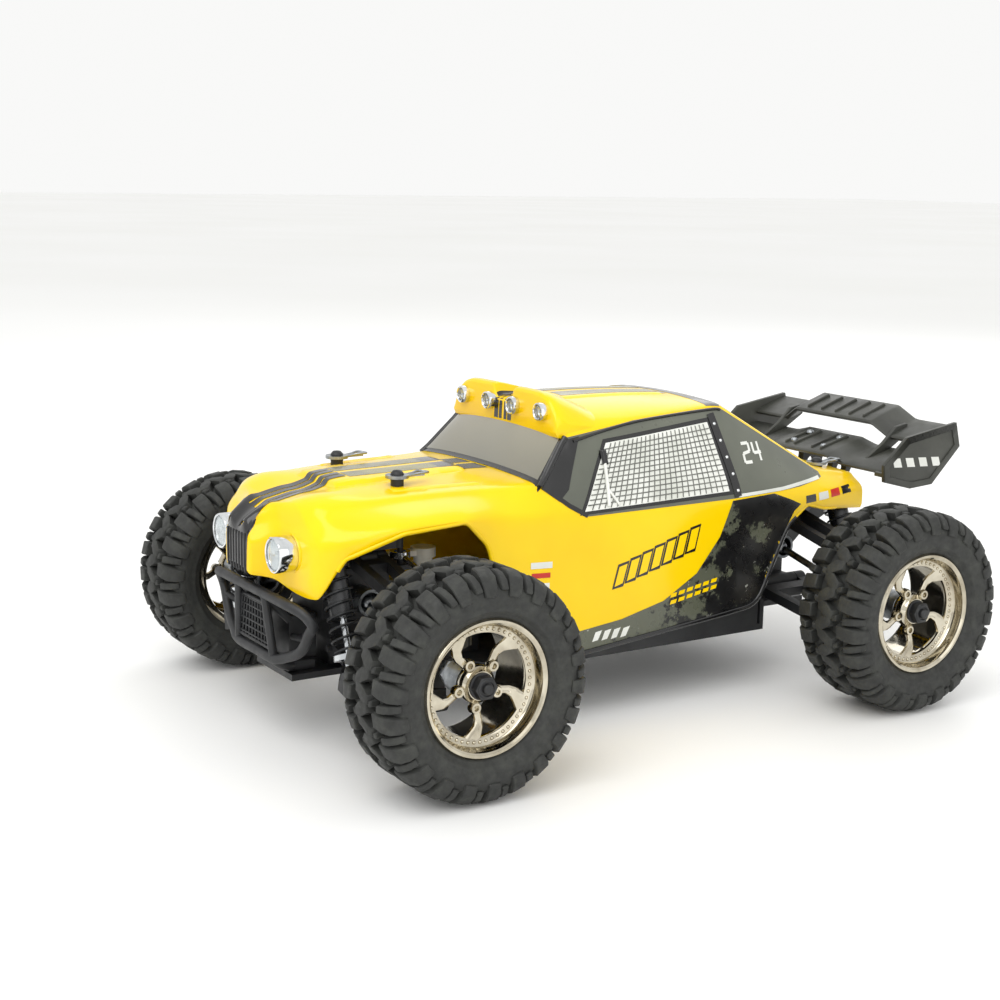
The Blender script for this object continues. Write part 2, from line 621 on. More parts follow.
# Film or raised panel laid over the surface; rise gives its height and the width of its sloping edge
def filmOn(name, tree, view, outline, material, lift=0.15, step=3.0, rise=None, smoothAngle=60):
    shape = bmesh.new()
    points = [shape.verts.new((u, v, 0)) for u, v in outline]
    shape.faces.new(points)
    bmesh.ops.triangulate(shape, faces=shape.faces)
    for axis in (0, 1):
        values = [p[axis] for p in outline]
        count = int((max(values) - min(values)) / step)
        cuts = [min(values) + step * (i + 0.5) for i in range(count + 1)]
        if rise:
            cuts += [min(values) + rise[1] * k for k in (0.33, 0.66, 1)]
            cuts += [max(values) - rise[1] * k for k in (0.33, 0.66, 1)]
        for cut in cuts:
            where = (cut, 0, 0) if axis == 0 else (0, cut, 0)
            bmesh.ops.bisect_plane(shape, geom=shape.verts[:] + shape.edges[:] + shape.faces[:], dist=1e-4,
                                   plane_co=where, plane_no=(1, 0, 0) if axis == 0 else (0, 1, 0))
    shape.verts.index_update()
    verts = []
    for p in shape.verts:
        height = lift
        if rise:
            height += rise[0] * smoothStep(0, rise[1], edgeDistance(outline, p.co.x, p.co.y))
        verts.append(onSurface(tree, view, p.co.x, p.co.y, height))
    faces = [[p.index for p in f.verts] for f in shape.faces]
    shape.free()
    obj = makeObject(name, (verts, faces), material, smoothAngle, True, recalc=False)
    outwards = {"left": Vector((0, 1, 0)), "right": Vector((0, -1, 0)), "top": Vector((0, 0, 1)),
                "front": Vector((1, 0, 0))}[view]
    total = sum(p.normal.dot(outwards) * p.area for p in obj.data.polygons)
    if total < 0:
        obj.data.flip_normals()
    return obj


# Outline of a strip of even width along flat points
def ribbon(points, width):
    left, right = [], []
    for i, (u, v) in enumerate(points):
        a, b = points[max(i - 1, 0)], points[min(i + 1, len(points) - 1)]
        length = math.hypot(b[0] - a[0], b[1] - a[1])
        n = (-(b[1] - a[1]) / length * width / 2, (b[0] - a[0]) / length * width / 2)
        left.append((u + n[0], v + n[1]))
        right.append((u - n[0], v - n[1]))
    return left + right[::-1]


# Cord laid over the surface between two places, in metres
def wireOn(tree, view, ends, radius, lift, steps=10, sides=6):
    (a, b), (c, d) = ends
    path = [onSurface(tree, view, a + (c - a) * i / steps, b + (d - b) * i / steps, lift)
            for i in range(steps + 1)]
    verts, faces = tube([p * 1000 for p in path], radius, sides)
    return [Vector(p) / 1000 for p in verts], faces


shellSkin = makeShellSkin()
skinTree = surfaceTree(shellSkin)

# The raised panel on the hood and the ribs beside it are pressed into the shell
pressed = {
    "hoodScoop": [(138, -20), (138, 20), (120, 22), (66, 17), (66, -17), (120, -22)],
    "hoodRibLeft": [(118, 33), (118, 39), (74, 44), (74, 38)],
    "hoodRibRight": [(118, -39), (118, -33), (74, -38), (74, -44)],
    "roofPanel": [(14, -17), (14, 17), (-52, 16), (-52, -16)],
}
pressedPieces = [filmOn(name, skinTree, "top", outline, paintedPolycarbonateYellow, 0.02, 3,
                        (1.9, 3.0) if name == "hoodScoop" else (0.8, 2.0), 50)
                 for name, outline in pressed.items()]
skinTree = surfaceTree(shellSkin, *pressedPieces)


# Visor over the windscreen: two humps with a valley for the stripes between them
visorForm = {"half": 46.5, "crest": 155.6, "valley": 149.5, "low": 139.5, "reach": 34.8, "rows": 63}


def visorHeight(y):
    y = abs(y)
    hump = visorForm["valley"] + (visorForm["crest"] - visorForm["valley"]) * smoothStep(6.5, 9.5, y)
    fall = min(max((y - 12) / (visorForm["half"] - 11), 0), 1)
    return hump - (hump - visorForm["low"]) * fall ** 6


def makeVisor():
    rows = []
    for i in range(visorForm["rows"]):
        y = visorForm["half"] * (2 * i / (visorForm["rows"] - 1) - 1)
        top = visorHeight(y)
        reach = visorForm["reach"] + 0.6 * smoothStep(140, 156, top)
        row = []
        for x, share in ((4, 0), (12, 0.2), (21, 0.66), (29, 0.94)):
            base = onSurface(skinTree, "top", x, y, 0).z * 1000
            row.append((x, y, base - 1.2 + (max(top - base, 0) + 1.2) * share))
        rows.append(row + [(reach - 3.2, y, top), (reach - 1.2, y, top - 0.5), (reach - 0.2, y, top - 1.8),
                           (reach, y, (top + 137.6) / 2), (35.4, y, 137.9), (34.4, y, 135.4),
                           (24, y, 133.5), (10, y, 138)])
    n = len(rows[0])
    verts = [p for row in rows for p in row]
    visor = makeObject("roofVisor", (verts, loftFaces(len(rows), n)), paintedPolycarbonateYellow)
    return bevelled(visor, 0.5, 2, 40)


visor = makeVisor()
finishPiece(visor, "chassis", "yellow_body_shell")
visorTree = surfaceTree(visor, shellSkin)
print("shell skin and visor made")

# Films laid on the shell; their lifts differ, so that one lies clearly over another
sill = [(31, 44.5), (5, 47.5), (-20, 53.5), (-40, 65), (-54, 82), (-62, 99.3)]
films = [
    # name, view, outline, material, lift
    ("windscreenBorder", "top", [(51.2, -55.6), (51.2, 55.6), (30.4, 48.4), (30.4, -48.4)], glossBlackFilm,
     0.2),
    ("windscreenGlass", "top", [(48.4, -51.4), (48.4, 51.4), (32.2, 45.6), (32.2, -45.6)], windscreenPrint,
     0.36),
    ("roofRearBand", "top", [(-58, -42), (-58, 42), (-66.5, 42.5), (-66.5, -42.5)], glossBlackFilm, 0.14),
    ("rearDeck", "top", [(-67.5, -40), (-67.5, 40), (-130, 44), (-130, -44)], slateVinyl, 0.12),
    ("rearWindow", "top", [(-72, -33), (-72, 33), (-116, 37), (-116, -37)], glossBlackFilm, 0.24),
    ("roofStripeLeft", "top", [(10, 3), (10, 13), (-56, 12.4), (-56, 3)], smokeStripeFilm, 0.12),
    ("roofStripeRight", "top", [(10, -13), (10, -3), (-56, -3), (-56, -12.4)], smokeStripeFilm, 0.12),
    ("hoodStripeLeft", "top", [(126, 2), (126, 12.5), (79, 13.5), (79, 2)], smokeStripeFilm, 0.12),
    ("hoodStripeRight", "top", [(126, -12.5), (126, -2), (79, -2), (79, -13.5)], smokeStripeFilm, 0.12),
    ("screenStripeLeft", "top", [(79, 2), (79, 13.5), (52.5, 14.5), (52.5, 2)], glossBlackFilm, 0.12),
    ("screenStripeRight", "top", [(79, -13.5), (79, -2), (52.5, -2), (52.5, -14.5)], glossBlackFilm, 0.12),
    ("grilleRecess", "front", [(-10.4, 79.5), (10.4, 79.5), (11.4, 94), (10.8, 103.4), (-10.8, 103.4),
                               (-11.4, 94)],
     glossBlackFilm, 0.16),
    ("noseCap", "top", [(176.4, -10.6), (176.4, 10.6), (168, 10.6), (168, -10.6)], glossBlackFilm, 0.5),
]
for side in (-1, 1):
    for inner, outer in ((1.2, 5.2), (6.2, 10.6)):
        band = sorted((side * inner, side * outer))
        word = ("left" if side > 0 else "right") + ("Inner" if inner < 2 else "Outer")
        films.append((word + "NoseStripe", "top",
                      [(171.5, band[0]), (171.5, band[1]), (127, band[1]), (127, band[0])],
                      glossBlackFilm, 0.3))
for side, view in ((1, "left"), (-1, "right")):
    films += [
        (view + "CabinSide", view, [(50, 114.6), (33.2, 135), (-10, 141), (-60, 143.6), (-66, 143.2),
                                    (-131, 106.4), (-131, 104), (-110, 101.8), (-64, 100.3), (27, 99.6),
                                    (37, 106)],
         slateVinyl, 0.12),
        (view + "WindowBorder", view, [(30.5, 100.4), (10.5, 133.6), (-57.2, 139.4), (-62.8, 102.4)],
         glossBlackFilm, 0.22),
        (view + "WindowBacking", view, [(27.6, 102), (9.4, 131.8), (-55.3, 137.2), (-60, 104.2)],
         whiteVinyl, 0.32),
        (view + "FrontPillar", view, [(48.8, 113.6), (32.6, 134.2), (23.4, 135.6), (34.6, 112.4),
                                      (41, 107.6)],
         glossBlackFilm, 0.3),
        (view + "RearPillar", view, ribbon([(-58.5, 141), (-62, 121), (-65.5, 101)], 4.6), glossBlackFilm,
         0.5),
        (view + "CowlTrim", view, ribbon([(46, 113), (36, 105.5), (26, 100)], 2.2), glossBlackFilm, 0.24),
        (view + "SkirtPrint", view, sill + [(-90, 100.4), (-101, 96.5), (-109, 93.2), (-104, 90),
                                            (-98.5, 81.4), (-92.3, 67), (-87.8, 58), (-83.3, 46.8),
                                            (-76.8, 42.4), (-50, 39),
                                            (0, 34.4), (26, 32.7), (31.4, 33.4)], tornSkirt, 0.13),
        (view + "SailStripe", view, ribbon([(-66, 101.4), (-96, 102.2), (-128, 104.2)], 1.6), whiteVinyl,
         0.3),
        (view + "LampBar", view, [(58, 78), (58, 81), (46, 80.4), (46, 77.4)], whiteVinyl, 0.16),
        (view + "RedBar", view, [(57.4, 73.4), (57.4, 75.8), (47, 75.3), (47, 72.9)], redVinyl, 0.16),
        (view + "LowBar", view, [(57.6, 68.2), (57.6, 71), (47.4, 70.4), (47.4, 67.6)], whiteVinyl, 0.16),
    ]
    # slanted bars along the door, outlined in black
    for k in range(7):
        x = 10 - k * 7.2
        low, high = 64 + k * 2.1, 73.5 + k * 2.3
        cell = [(x, low), (x - 2.6, high), (x - 7.4, high + 1.2), (x - 4.8, low + 1.4)]
        films.append((f"{view}DoorBarEdge{k}", view,
                      [(x + 1.3, low - 1.2), (x - 2.0, high + 1.2), (x - 8.6, high + 2.6),
                       (x - 5.3, low - 0.2)],
                      glossBlackFilm, 0.16 + 0.02 * (k % 2)))
        films.append((f"{view}DoorBar{k}", view, cell, paintedPolycarbonateYellow, 0.26))
    for k in range(6):      # small yellow dashes in two rows on the skirt
        x = -24 - k * 5
        for row in (0, 1):
            z = 54.5 - row * 3.4 + k * 0.9
            films.append((f"{view}SkirtDash{k}{row}", view,
                          [(x, z), (x - 0.6, z + 2), (x - 4.2, z + 2.5), (x - 3.6, z + 0.5)],
                          paintedPolycarbonateYellow, 0.2))
    for k in range(4):      # white darts at the front of the sill
        x = 22 - k * 5.5
        films.append((f"{view}SillDart{k}", view,
                      [(x, 38.4), (x - 1.8, 43), (x - 5.6, 43.6), (x - 3.4, 38.9)],
                      whiteVinyl, 0.22))
    for k, (x, z) in enumerate(((-113, 98.6), (-123, 99.1), (-133, 99.6), (-143, 100))):
        films.append((f"{view}TailLabel{k}", view,
                      [(x, z - 5.6), (x, z - 1.8), (x - 7.6, z - 1.5), (x - 7.6, z - 5.3)],
                      [glossBlackFilm, whiteVinyl, redVinyl, glossBlackFilm][k], 0.16))
    # number 24 on the sail, in plain strokes
    strokes = {"two": [[(0, 9), (5, 9)], [(5, 9), (5, 5)], [(5, 5), (0, 4.2)], [(0, 4.2), (0, 0)],
                       [(0, 0), (5, 0)]],
               "four": [[(0, 9), (0, 4)], [(0, 4), (5.4, 4)], [(4, 9), (4, 0)]]}
    for start, (digit, lines) in zip((-74.5, -82.5) if side > 0 else (-82.5, -74.5), strokes.items()):
        for k, line in enumerate(lines):
            flat = [(start - u if side > 0 else start - 5.4 + u, 116.5 + v) for u, v in line]
            films.append((f"{view}{digit.capitalize()}Stroke{k}", view, ribbon(flat, 1.5), whiteVinyl,
                          0.26 + 0.01 * k))

filmStep = {"curved": 0.8, "narrow": 1.4, "plain": 2.5}      # how finely a film follows the surface
filmGroups = ("DoorBarEdge", "DoorBar", "SkirtDash", "SillDart", "TailLabel", "Stroke")
groups = {}
for name, view, outline, material, lift in films:
    narrow = "Pillar" in name or "grille" in name
    fine = filmStep["curved" if "ose" in name else "narrow" if narrow else "plain"]
    film = filmOn(name, skinTree, view, outline, material, lift, fine)
    key = next((word for word in filmGroups if word in name), None)
    if key is None:
        finishPiece(film, "chassis", "yellow_body_shell")
    else:
        groups.setdefault((view, key, material.name), []).append(film)
for (view, key, materialName), members in groups.items():
    members[0].name = f"{view}{key}s{materialName[:1].upper()}{materialName[1:]}"
    finishPiece(mergeInto(*members), "chassis", "yellow_body_shell")
print("films laid:", len(films))

# Window net: dark cord over the white backing, with a hanging strap and bolts on the rear pillar
net = {"columns": 24, "rows": 13, "cord": 0.26,
       "corners": [(27.0, 102.4), (9.2, 131.2), (-54.9, 136.6), (-59.6, 104.6)]}


def netPoint(s, t):
    a, b, c, d = net["corners"]       # s runs rearwards, t upwards
    return ((a[0] * (1 - s) + d[0] * s) * (1 - t) + (b[0] * (1 - s) + c[0] * s) * t,
            (a[1] * (1 - s) + d[1] * s) * (1 - t) + (b[1] * (1 - s) + c[1] * s) * t)


# Woven nylon cord: matt grey with a fine fibrous grain.
netCord = surfaceMaterial("netCord", "#63645f", "#787973", (0.6, 0.8), 3, 0.5, 0.03)
for side, view in ((1, "left"), (-1, "right")):
    wires = [wireOn(skinTree, view, (netPoint(i / net["columns"], 0), netPoint(i / net["columns"], 1)),
                    net["cord"], 0.5)
             for i in range(1, net["columns"])]
    wires += [wireOn(skinTree, view, (netPoint(0, j / net["rows"]), netPoint(1, j / net["rows"])),
                     net["cord"], 0.5, 20)
              for j in range(1, net["rows"])]
    mount(f"{view}WindowNet", joined(*wires), netCord, "yellow_body_shell", smoothAngle=60, inMetres=True)
    strap = [wireOn(skinTree, view, ((12, 128), (14, 103.5)), 0.9, 1.0, 12),
             wireOn(skinTree, view, ((14, 112), (8, 103.5)), 0.7, 1.0, 8)]
    mount(f"{view}NetStrap", joined(*strap), whiteVinyl, "yellow_body_shell", smoothAngle=60, inMetres=True)
    buckle = filmOn(f"{view}StrapBuckle", skinTree, view,
                    [(13.8, 122), (13.8, 129), (10.4, 129), (10.4, 122)],
                    glossBlackFilm, 0.9, 1.5, (1.2, 0.8))
    finishPiece(buckle, "chassis", "yellow_body_shell")
    bolts = []
    for k in range(5):
        p = onSurface(skinTree, view, -59.5 - k * 1.5, 136 - k * 8, 0.3) * 1000
        verts, faces = turned([(0.01, 0.9), (0.5, 0.82), (0.85, 0.45), (0.95, 0), (0.01, 0)], "x",
                              (0, 0, 0), 12)
        bolts.append(([(Vector((v[1], v[0] * side, v[2])) + p) / 1000 for v in verts], faces))
    mount(f"{view}PillarBolts", joined(*bolts), silverPlating, "zinc_steel", smoothAngle=50, inMetres=True)

# Stripes up the visor's valley and the rolled lip of the wheel arches
for side in (-1, 1):
    word = "left" if side > 0 else "right"
    for inner, outer in ((0.9, 3.4), (4.2, 7.6)):
        band = sorted((side * inner, side * outer))
        strip = filmOn(f"{word}VisorStripe{'Inner' if inner < 2 else 'Outer'}", visorTree, "front",
                       [(band[0], 138.6), (band[1], 138.6), (band[1], 148.4), (band[0], 148.4)],
                       glossBlackFilm, 0.14, 1.5)
        finishPiece(strip, "chassis", "yellow_body_shell")
        strip = filmOn(f"{word}VisorTopStripe{'Inner' if inner < 2 else 'Outer'}", visorTree, "top",
                       [(34.2, band[0]), (34.2, band[1]), (11, band[1]), (11, band[0])], glossBlackFilm,
                       0.14, 1.5)
        finishPiece(strip, "chassis", "yellow_body_shell")
    for name, centre, reach, radius, film in (("Front", axleX, (-63, 29), 1.15, paintedPolycarbonateYellow),
                                              ("Rear", -axleX, (-13, 19), 0.8, paintedPolycarbonateYellow),
                                              ("Skirt", -axleX, (19, 156), 1.4, glossBlackFilm)):
        path = []
        for i in range(61):
            x = centre + reach[0] + (reach[1] - reach[0]) * i / 60
            path.append((x, side * (lookup(shell["side"], x) - 0.9), lookup(shell["low"], x) + 0.5))
        lip = makeObject(f"{word}{name}ArchLip", tube(smoothPath(path[::2], 2), radius, 8), film, 60)
        finishPiece(lip, "chassis", "yellow_body_shell")

    # black trim where the roof meets the cabin's side
    edge = [(onSurface(skinTree, "left" if side > 0 else "right", x, z, 0.2) - place((0, 0, 0))) * 1000
            for x, z in smoothPath([(27, 133.6), (10, 137.2), (-10, 140.2), (-35, 141.8), (-60, 142.9),
                                    (-65.6, 142.5)], 4)]
    screen = [(x, side * (lookup(shell["railHalf"], x) + 0.2), lookup(shell["rail"], x) - 0.7)
              for x in (49.6, 46, 42, 38, 34, 31)]
    trim = joined(tube(edge, 0.8, 8), tube(screen, 1.5, 10))
    mount(f"{word}RoofEdge", trim, glossBlackFilm, "yellow_body_shell", smoothAngle=60)

# The grille's upright bars
ribs = [plate([(166, 78.5), (177.3, 79), (177.7, 82), (177.7, 97), (166, 99)], "y", y - 0.55, y + 0.55)
        for y in (-9, -6, -3, 0, 3, 6, 9)]
mount("grilleBars", joined(*ribs), glassFilledNylon, "black_nylon", bevelMm=0.3)

wall = shellSkin.modifiers.new("wall", "SOLIDIFY")
wall.thickness = shell["wall"] / 1000
wall.offset = -1
shellSkin.name = "bodyShell"
applyModifiers(shellSkin, 40)
finishPiece(shellSkin, "chassis", "yellow_body_shell", "body_shell")
for piece in pressedPieces:
    finishPiece(piece, "chassis", "yellow_body_shell")
print("body shell finished")


# Lamps: radius and front of each kind, then how far out, how high and how deep
lamp = {"head": (8.3, 171.2), "headOut": 29, "headZ": 90.5, "headDepth": 15,
        "roof": (4.4, 36.8), "roofOut": (11, 35), "roofZ": 146.6, "roofDepth": 6}


# Bezel, faceted bowl and bulb of one lamp
def lampParts(radius, front, y, z, depth):
    bezel = [(radius * 0.6, -depth), (radius * 0.93, -depth * 0.75), (radius, -depth * 0.3), (radius, 0.9),
             (radius - 0.25, 1.6), (radius - 0.8, 1.8), (radius - 1.2, 1.4), (radius - 1.3, 0.6),
             (radius - 1.35, 0.2), (radius - 1.35, -depth * 0.5), (radius * 0.5, -depth * 0.8)]
    bowl = [(radius - 1.34, 0.5), (radius * 0.74, -0.5), (radius * 0.52, -1.6), (radius * 0.3, -2.5),
            (radius * 0.22, -2.7), (radius * 0.2, -3.4), (radius - 1.34, -3.4)]
    bulb = [(0.01, 0.2), (radius * 0.12, 0.1), (radius * 0.2, -0.5), (radius * 0.2, -2.9), (0.01, -2.9)]
    at = (front, y, z)
    return turned(bezel, "x", at, 48), turned(bowl, "x", at, 20), turned(bulb, "x", at, 20)


chrome, lenses = [], []
spots = [(lamp["head"], s * lamp["headOut"], lamp["headZ"], lamp["headDepth"]) for s in (-1, 1)]
spots += [(lamp["roof"], s * y, lamp["roofZ"], lamp["roofDepth"]) for s in (-1, 1) for y in lamp["roofOut"]]
for (radius, front), y, z, depth in spots:
    chrome += lampParts(radius, front, y, z, depth)
    lens = [(0.01, 1.5), (radius * 0.4, 1.42), (radius * 0.7, 1.2), (radius - 1.3, 0.8), (radius - 1.3, 0.4),
            (radius * 0.6, 0.8), (0.01, 1.0)]
    lenses.append(turned(lens, "x", (front, y, z), 40))
mount("lampReflectors", joined(*chrome), silverPlating, "chrome_lamp", smoothAngle=20, replaced="lamps")
mount("lampLenses", joined(*lenses), clearLens, "chrome_lamp", smoothAngle=40)
sockets = [turned([(8.2, -14), (9.2, -11), (9.2, -7.6), (8.9, -7.2), (8.2, -7.2)], "x",
                  (lamp["head"][1], s * lamp["headOut"], lamp["headZ"]), 48) for s in (-1, 1)]
mount("headlampSockets", joined(*sockets), paintedPolycarbonateYellow, "yellow_body_shell", smoothAngle=40)

# Body clips: wire radius, eye radius, how far out they sit, and where along the shell
clip = {"wire": 0.65, "eye": 4.2, "out": 30, "places": [(111, 120.5), (-146, 106.9)]}
clips = []
for x, z in clip["places"]:
    for s in (-1, 1):
        y = s * clip["out"]
        turns = [math.pi * k / 9 for k in range(-7, 8)]
        ring = [(x + clip["eye"] * math.cos(a), y + clip["eye"] * math.sin(a), z + 0.2) for a in turns]
        arm = [(x - 3.6, y - 1.9, z + 0.2), (x - 8, y - 1.3, z + 0.9), (x - 12, y - 2.6, z + 1.5),
               (x - 15, y - 1.2, z + 1.2), (x - 15.4, y + 1.2, z + 1.2), (x - 12, y + 2.6, z + 1.5),
               (x - 8, y + 1.3, z + 0.9), (x - 3.6, y + 1.9, z + 0.2)]
        clips += [tube(smoothPath(ring, 3), clip["wire"], 8), tube(smoothPath(arm, 5), clip["wire"], 8)]
mount("bodyClips", joined(*clips), zincPlatedSteel, "zinc_steel", smoothAngle=60)
verts, faces = turned([(0.01, 3.4), (1.9, 3.1), (2.9, 2), (3.1, 0.6), (3.1, -1.6), (0.01, -1.6)], "x",
                      (0, 0, 0), 24)
caps = [shifted(([(b, c, a) for a, b, c in verts], faces), (x, s * clip["out"], z))
        for x, z in clip["places"] for s in (-1, 1)]
mount("postCaps", joined(*caps), glassFilledNylon, "black_nylon", smoothAngle=50)
print("lamps and clips made")


# Front bumper: bent tubes round a barred panel, on a foot under the nose
bumper = {"tube": 2.4, "nose": axleX + 47, "top": 69.6, "mesh": 0.55}
nose, top = bumper["nose"], bumper["top"]
tubes = []
for s in (-1, 1):
    tubes.append(tube(smoothPath([(nose - 2, 0, top), (nose - 2, s * 20, top),
                                  (nose - 2.4, s * 36, top - 0.4),
                                  (nose - 6, s * 45, top - 3), (nose - 9, s * 48.6, top - 8),
                                  (nose - 9, s * 46, 58), (nose - 8, s * 39, 48), (nose - 6, s * 29, 43),
                                  (nose - 4, s * 19, 40.2), (nose - 4, 0, 40)], 6),
                      bumper["tube"], 14))
    tubes.append(tube(smoothPath([(nose - 2, s * 14, top), (nose - 3, s * 16.5, 55),
                                  (nose - 4, s * 19, 40)], 6), 2.0, 12))
    tubes.append(tube(smoothPath([(nose - 4, s * 19, 40), (nose - 9, s * 17, 36),
                                  (axleX + 32, s * 15, 34.4)], 5), 2.2, 12))
    tubes.append(tube([(nose - 2, s * 10, top), (axleX + 30, s * 10, 54)], 2.2, 12))
    tubes.append(tube(smoothPath([(nose - 8.5, s * 43, 56), (nose - 16, s * 30, 50),
                                  (axleX + 30, s * 12, 47)], 5), 1.7, 10))
mount("bumperTubes", joined(*tubes), glassFilledNylon, "black_nylon", smoothAngle=60,
      replaced="front_bumper")
panel = [plate([(-17, 44), (17, 44), (13.2, 64), (-13.2, 64)], "x", nose - 5.2, nose - 4.4)]
bars = []
for k in range(9):
    u = -14 + 3.5 * k
    bars.append(tube([(nose - 3.9, u, 44.6), (nose - 3.9, u * 0.8, 63.6)], bumper["mesh"], 6))
for k in range(6):
    z = 46 + 3.4 * k
    w = 16.4 - (z - 44) * 0.19
    bars.append(tube([(nose - 3.6, -w, z), (nose - 3.6, w, z)], bumper["mesh"], 6))
border = tube([(nose - 4, -17, 44), (nose - 4, 17, 44), (nose - 4, 13.2, 64), (nose - 4, -13.2, 64)], 1.1,
              8, True)
mount("bumperGrille", joined(*panel, *bars, border), glassFilledNylon, "black_nylon", bevelMm=0.15,
      segments=1)
foot = [boxPart((axleX + 20, -15, 31.2), (axleX + 34, 15, 36)),
        boxPart((axleX + 18, -12, 36), (axleX + 32, 12, 57))]
mount("bumperFoot", joined(*foot), glassFilledNylon, "black_nylon", bevelMm=0.8)
print("bumper made")


# Rear wing: blades as (ahead of the tail, height, tilt, depth, raised middle, inner and outer bend)
wing = {"half": 69, "thick": 2.4, "tail": -axleX - 88,
        "lower": (52, 104, 17, 29.5, 3, 21, 30), "upper": (26, 118, 22, 23.5, 7, 29, 40)}


def bladePart(form, ribs):
    ahead, z0, tilt, depth, raised, inner, outer = form
    x0 = wing["tail"] + ahead
    half, t = wing["half"] - wing["thick"] + 0.3, wing["thick"]
    line = [(-half, 0), (-outer - 3, 0), (-outer, 0.4), (-inner - 1.5, raised - 0.5), (-inner, raised),
            (inner, raised), (inner + 1.5, raised - 0.5), (outer, 0.4), (outer + 3, 0), (half, 0)]
    chord = [(0, 0.9), (-0.06, 0), (-0.35, -0.25), (-0.8, -0.1), (-1, 0.3), (-1, 0.75), (-0.8, 0.85),
             (-0.35, 1.15), (-0.06, 1.2)]
    verts, n = [], len(chord)
    c, s = math.cos(math.radians(tilt)), math.sin(math.radians(tilt))
    for y, lift in line:
        for u, v in chord:
            x, z = u * depth, v * t + lift
            verts.append((x0 + x * c + z * s, y, z0 - x * s + z * c))
    extra = []
    for y in ribs:
        flat = [(-0.12, 0.9), (-0.88, 0.7), (-0.84, 1.5), (-0.16, 1.75)]
        rib = [(x0 + u * depth * c + (v * t + raised) * s, z0 - u * depth * s + (v * t + raised) * c)
               for u, v in flat]
        extra.append(plate(rib, "y", y - 0.6, y + 0.6))
    return joined((verts, loftFaces(len(line), n)), *extra)


tail = wing["tail"]
mount("wingLowerBlade", bladePart(wing["lower"], (-14, -7, 7, 14)), oliveGreyNylon, "grey_wing_plastic",
      bevelMm=0.35, replaced="rear_wing")
mount("wingUpperBlade", bladePart(wing["upper"], (-22, -11, 0, 11, 22)), oliveGreyNylon, "grey_wing_plastic",
      bevelMm=0.35)
outline = [(tail + 4, 130.2), (tail + 0.4, 117), (tail + 20, 97.9), (tail + 36, 96.8), (tail + 55, 101.6),
           (tail + 55.8, 110.6), (tail + 40, 124.3)]
inset = [(tail + 7, 126), (tail + 4.6, 118), (tail + 21.5, 101.3), (tail + 35.4, 100.4),
         (tail + 51.4, 104.4), (tail + 52, 109.2), (tail + 38.2, 120.8)]
for s in (-1, 1):
    word = "left" if s > 0 else "right"
    y0, y1 = sorted((s * (wing["half"] - wing["thick"]), s * (wing["half"] - 0.5)))
    endPlate = plate(outline, "y", y0, y1)
    n = len(outline)      # a raised border round the outer face
    border = []
    for i in range(n):
        j = (i + 1) % n
        quad = [outline[i], outline[j], inset[j], inset[i]]
        border.append(plate(quad, "y", *sorted((s * (wing["half"] - 0.6), s * wing["half"]))))
    flange = plate([(tail + 44, 103.4), (tail + 54, 103.8), (tail + 54, 106), (tail + 44, 107.4)], "y",
                   *sorted((s * 60, s * (wing["half"] - 1))))
    mount(f"wingEndPlate{word.capitalize()}", joined(endPlate, *border, flange), oliveGreyNylon,
          "grey_wing_plastic", bevelMm=0.3)
    fin = plate([(tail + 14, 127), (tail + 13, 121.5), (tail + 28, 112.5), (tail + 42, 105),
                 (tail + 48, 106.4), (tail + 31, 117.4), (tail + 22, 125.6)],
                "y", s * 42 - 1.2, s * 42 + 1.2)
    mount(f"wingFin{word.capitalize()}", fin, oliveGreyNylon, "grey_wing_plastic", bevelMm=0.4)
    # plain angular bars on the end plate's outer face
    marks = []
    for k in range(4):
        u, v = tail + 14 + k * 9.5, 107.5 + k * 0.4
        marks.append(plate([(u, v), (u + 5.6, v + 0.3), (u + 7.4, v + 5.2), (u + 1.8, v + 4.9)], "y",
                           *sorted((s * (wing["half"] - 0.52), s * (wing["half"] - 0.4)))))
    mount(f"wingMarks{word.capitalize()}", joined(*marks), whiteVinyl, "grey_wing_plastic")


# Dome-headed screw, pointing up
def screwHead(radius, height):
    dome = [(0.01, height - 0.7), (radius * 0.42, height - 0.7), (radius * 0.5, height),
            (radius * 0.8, height * 0.8), (radius, height * 0.2), (radius, -0.4), (0.01, -0.4)]
    verts, faces = turned(dome, "x", (0, 0, 0), 18)
    return [(z, y, x) for x, y, z in verts], faces


bolts = []
ahead, height, tilt, depth, raised = wing["lower"][:5]
c, s = math.cos(math.radians(tilt)), math.sin(math.radians(tilt))
for u, y in ((0.3, 12), (0.3, -12), (0.72, 12), (0.72, -12)):
    x, z = -u * depth, 1.1 * wing["thick"] + raised
    bolts.append(shifted(screwHead(2.2, 1.4), (tail + ahead + x * c + z * s, y, height - x * s + z * c)))
mount("wingBolts", joined(*bolts), zincPlatedSteel, "zinc_steel")
print("wing made")


# Tyre: tread blocks a side, their edge rounding and how far the rows turn between the axles, in blocks
tyre = {"blocks": 22, "edge": 0.45, "endTurn": 0.11}
carcass = [(29.6, 15.2), (29.9, 16.9), (30.8, 17.6), (32.2, 18.4), (32.9, 19.6), (33.6, 19.9), (34.3, 19.8),
           (36, 20.3), (39, 20.8), (42, 20.4), (43.9, 18.8), (44.9, 16.4), (45.5, 12), (45.7, 6), (45.8, 0)]
tyreProfile = carcass + [(r, -a) for r, a in reversed(carcass[:-1])]
tyreProfile += [(28.2, -15.2), (28.2, -12), (33, -11), (42, -14), (43, 0), (42, 14), (33, 11), (28.2, 12),
                (28.2, 15.2)]
treadTree = ringTree("treadRing", tyreRubber)


